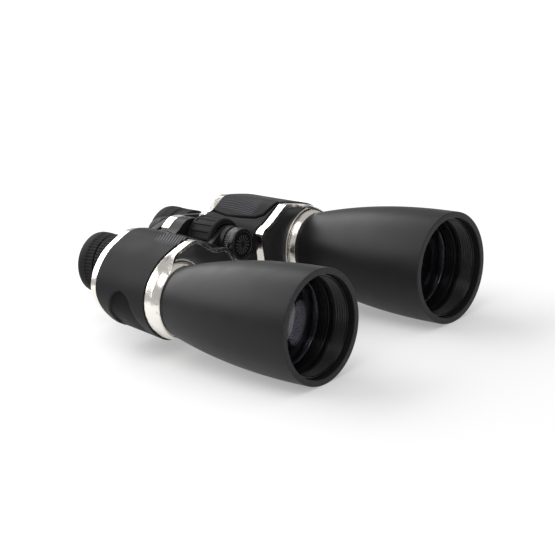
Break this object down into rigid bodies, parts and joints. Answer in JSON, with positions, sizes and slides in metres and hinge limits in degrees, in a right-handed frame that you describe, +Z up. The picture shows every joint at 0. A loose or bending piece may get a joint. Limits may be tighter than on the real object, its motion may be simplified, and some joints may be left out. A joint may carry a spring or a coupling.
{
  "type": "binoculars",
  "caption": "Porro-prism binoculars with flared black barrels, rubber-armoured prism housings, bright trim bands, a centre focus wheel on the hinge and a sliding eyepiece bridge.",
  "frame": {"origin": "middle of the base: below the centre of the bounding box, at the height of the lowest points of the two objective rims", "axes": "+X across the barrels towards the left half as the user sees it, +Y along the optical axes from the objectives towards the eyepieces, +Z up"},
  "size_m": [0.1986, 0.2098, 0.0705],
  "materials": {
    "satin_black": "satin black moulded plastic with a fine even grain",
    "gloss_black": "gloss black",
    "bright_trim": "polished bright plating",
    "armour_rubber": "matt dark grey rubber with moulded lines and dots",
    "soft_rubber": "matt black soft rubber with ribs",
    "black_metal": "black anodised",
    "grey_metal": "bare turned metal",
    "brass": "turned brass",
    "spring_steel": "bare spring steel",
    "optical_glass": "coated optical glass with a faint violet reflection"
  },
  "bodies": {
    "right_half": {"right_barrel": "satin_black", "right_hood_sleeve": "gloss_black", "right_objective_crown": "optical_glass", "right_objective_flint": "optical_glass", "right_objective_retainer": "black_metal", "right_front_bezel": "bright_trim", "right_front_cover": "satin_black", "right_prism_housing": "black_metal", "right_armour": "armour_rubber", "right_rear_trim": "bright_trim", "right_rear_cover": "satin_black", "right_prism_shelf": "black_metal", "right_rear_prism": "optical_glass", "right_rear_prism_clip": "spring_steel", "right_front_prism": "optical_glass", "right_front_prism_clip": "spring_steel", "right_front_lug": "black_metal", "right_rear_lug": "black_metal", "front_hinge_pin": "black_metal", "tripod_bush": "brass", "hinge_ring": "grey_metal"},
    "left_half": {"left_barrel": "satin_black", "left_hood_sleeve": "gloss_black", "left_objective_crown": "optical_glass", "left_objective_flint": "optical_glass", "left_objective_retainer": "black_metal", "left_front_bezel": "bright_trim", "left_front_cover": "satin_black", "left_prism_housing": "black_metal", "left_armour": "armour_rubber", "left_rear_trim": "bright_trim", "left_rear_cover": "satin_black", "left_prism_shelf": "black_metal", "left_rear_prism": "optical_glass", "left_rear_prism_clip": "spring_steel", "left_front_prism": "optical_glass", "left_front_prism_clip": "spring_steel", "left_front_lug": "black_metal", "left_rear_lug": "black_metal"},
    "focus_wheel": {"focus_wheel_core": "black_metal", "focus_wheel_grip": "soft_rubber"},
    "eyepiece_bridge": {"focus_spindle": "spring_steel", "right_bridge_arm": "satin_black", "bridge_end_cap": "black_metal"},
    "right_ocular": {"right_eyepiece_tube": "black_metal", "right_field_lens": "optical_glass", "right_lens_spacer": "black_metal", "right_eye_lens": "optical_glass", "right_eyecup": "soft_rubber"},
    "dioptre_ring": {"dioptre_ring": "soft_rubber"},
    "left_ocular": {"left_bridge_arm": "satin_black", "left_eyepiece_collar": "soft_rubber", "left_eyepiece_tube": "black_metal", "left_field_lens": "optical_glass", "left_lens_spacer": "black_metal", "left_eye_lens": "optical_glass", "left_eyecup": "soft_rubber"},
    "hinge_cap": {"hinge_cap": "satin_black"}
  },
  "joints": [
    {"name": "interpupillary_hinge", "type": "hinge", "parent": "right_half", "child": "left_half", "pos_m": [0, 0, 0.0528], "axis": [0, 1, 0], "range_deg": [-34, 30]},
    {"name": "focus_wheel_turn", "type": "hinge", "parent": "right_half", "child": "focus_wheel", "pos_m": [0, 0, 0.0528], "axis": [0, 1, 0], "range_deg": [-225, 225]},
    {"name": "focus_slide", "type": "slide", "parent": "right_half", "child": "eyepiece_bridge", "axis": [0, 1, 0], "range_m": [-0.004, 0.004]},
    {"name": "left_arm_turn", "type": "hinge", "parent": "eyepiece_bridge", "child": "left_ocular", "pos_m": [0, 0, 0.0528], "axis": [0, 1, 0], "range_deg": [-34, 30]},
    {"name": "dioptre_turn", "type": "hinge", "parent": "right_ocular", "child": "dioptre_ring", "pos_m": [-0.0331, 0.08, 0.038], "axis": [0, 1, 0], "range_deg": [-70, 70]},
    {"name": "dioptre_slide", "type": "slide", "parent": "eyepiece_bridge", "child": "right_ocular", "axis": [0, 1, 0], "range_m": [-0.001, 0.001]},
    {"name": "hinge_cap_pull", "type": "slide", "parent": "right_half", "child": "hinge_cap", "axis": [0, -1, 0], "range_m": [0, 0.012]}
  ],
  "couplings": [
    {"joint": "focus_wheel_turn", "follows": "focus_slide", "rad_per_m": 981.7},
    {"joint": "left_arm_turn", "follows": "interpupillary_hinge", "ratio": 1},
    {"joint": "dioptre_turn", "follows": "dioptre_slide", "rad_per_m": 1221.7}
  ]
}
